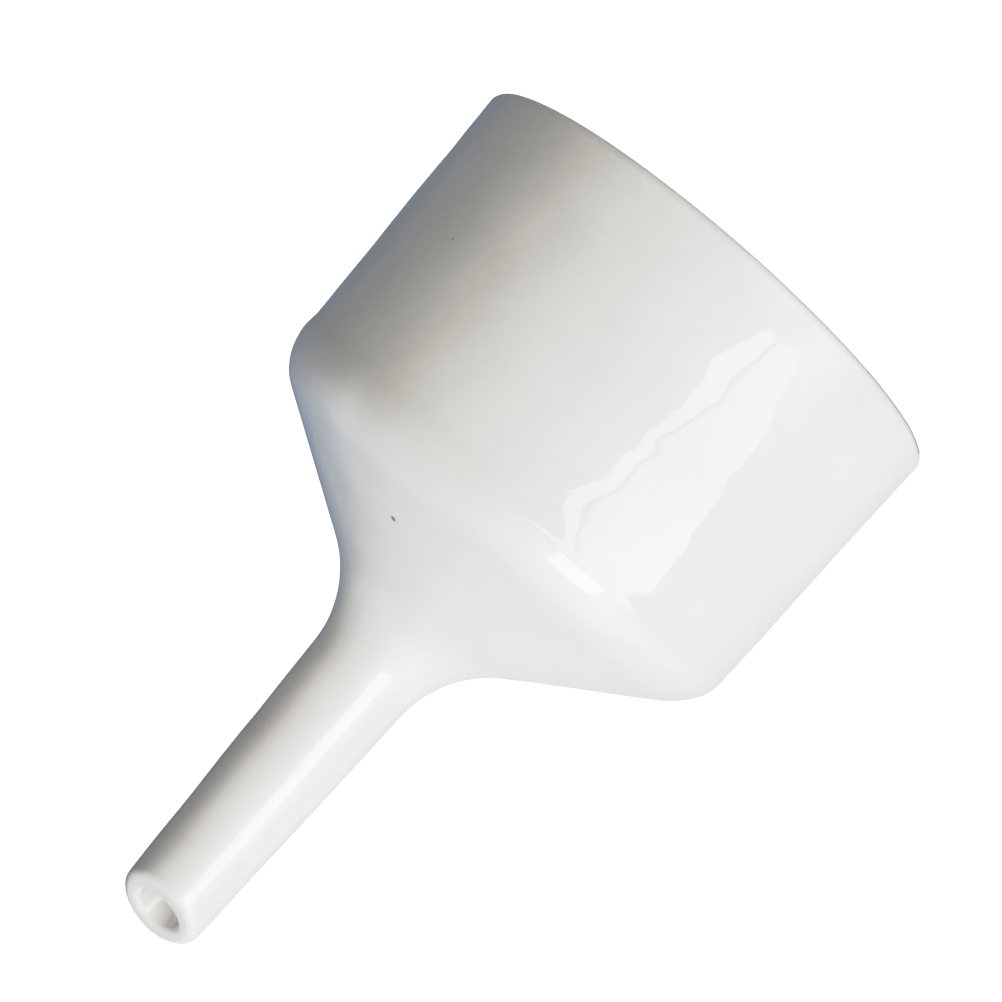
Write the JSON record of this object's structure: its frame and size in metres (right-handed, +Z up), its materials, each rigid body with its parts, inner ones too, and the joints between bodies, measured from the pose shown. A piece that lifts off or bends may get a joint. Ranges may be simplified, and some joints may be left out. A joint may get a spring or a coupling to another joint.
{
  "type": "buchner funnel",
  "caption": "White glazed porcelain Buchner funnel: round bowl over a fixed perforated plate, collecting cone, and tapered stem with a slanted tip.",
  "frame": {"origin": "on the bowl's axis, at the level of the lowest point of the stem's slanted tip", "axes": "+Z up the bowl's axis, out of the mouth; -Y is the side that the slanted tip faces"},
  "size_m": [0.1, 0.1, 0.1562],
  "materials": {
    "glazed_porcelain": "glossy clear glaze over white porcelain"
  },
  "bodies": {
    "root": {"bowl": "glazed_porcelain", "perforated_plate": "glazed_porcelain", "cone": "glazed_porcelain", "stem": "glazed_porcelain"}
  },
  "joints": []
}
